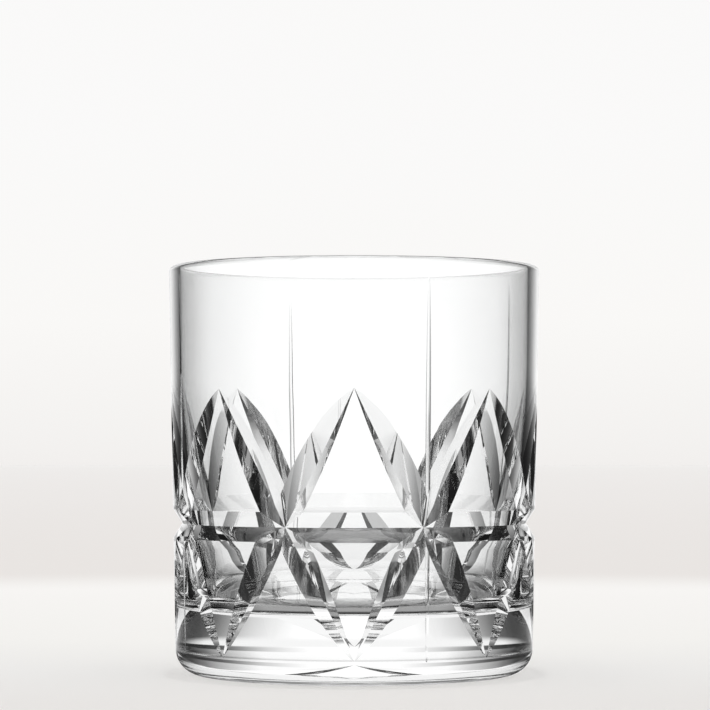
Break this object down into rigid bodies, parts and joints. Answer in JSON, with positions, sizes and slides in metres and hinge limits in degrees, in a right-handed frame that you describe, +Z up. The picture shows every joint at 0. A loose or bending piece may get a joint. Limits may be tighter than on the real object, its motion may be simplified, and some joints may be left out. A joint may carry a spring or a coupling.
{
  "type": "whiskey tumbler",
  "caption": "Heavy-based cut-crystal tumbler for spirits: straight wall, V-cut ring groove with pointed arches above and points below, thin upright lines.",
  "frame": {"origin": "middle of the foot, on the surface that the glass stands on", "axes": "+Z up along the glass's axis; -Y is the front, with a pointed arch in the middle and a thin upright line 22.5 degrees to its right (+X)"},
  "size_m": [0.088, 0.088, 0.0963],
  "materials": {
    "crystal": "polished clear crystal, all cuts polished"
  },
  "bodies": {
    "root": {"crystal_tumbler": "crystal"}
  },
  "joints": []
}
